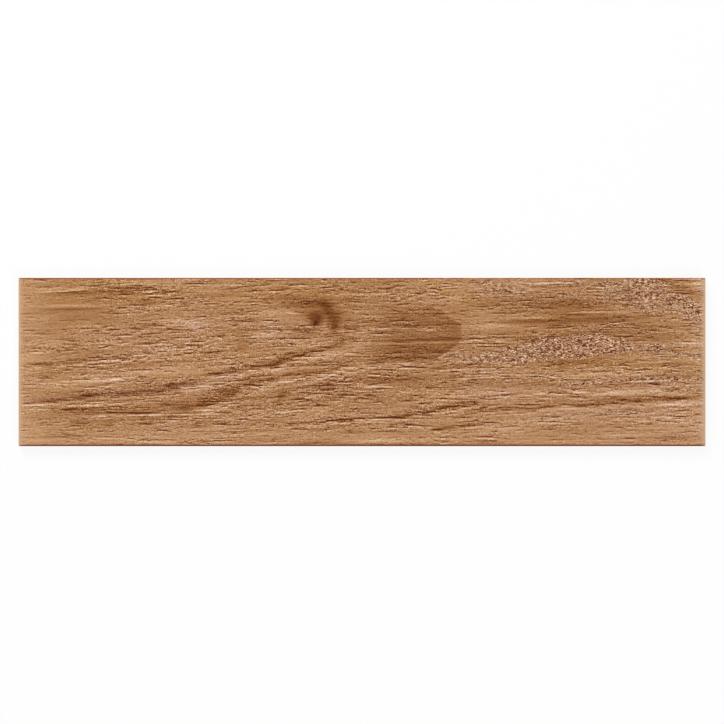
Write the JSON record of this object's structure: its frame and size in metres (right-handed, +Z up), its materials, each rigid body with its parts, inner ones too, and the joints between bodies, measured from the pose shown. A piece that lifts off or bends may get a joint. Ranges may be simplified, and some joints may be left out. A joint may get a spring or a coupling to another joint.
{
  "type": "wood-effect plank floor tile",
  "caption": "Plank-shaped glazed ceramic floor tile with an oak-look grain face, softly rounded pressed edges and a waffle back that keys into adhesive.",
  "frame": {"origin": "middle of the back, in the plane of the key ribs' feet", "axes": "+X along the plank, +Y across it, +Z up out of the glazed face"},
  "size_m": [0.6, 0.147, 0.009],
  "materials": {
    "oak_glaze": "matt glaze printed and embossed as oak"
  },
  "bodies": {
    "root": {"plank_tile": "oak_glaze"}
  },
  "joints": []
}
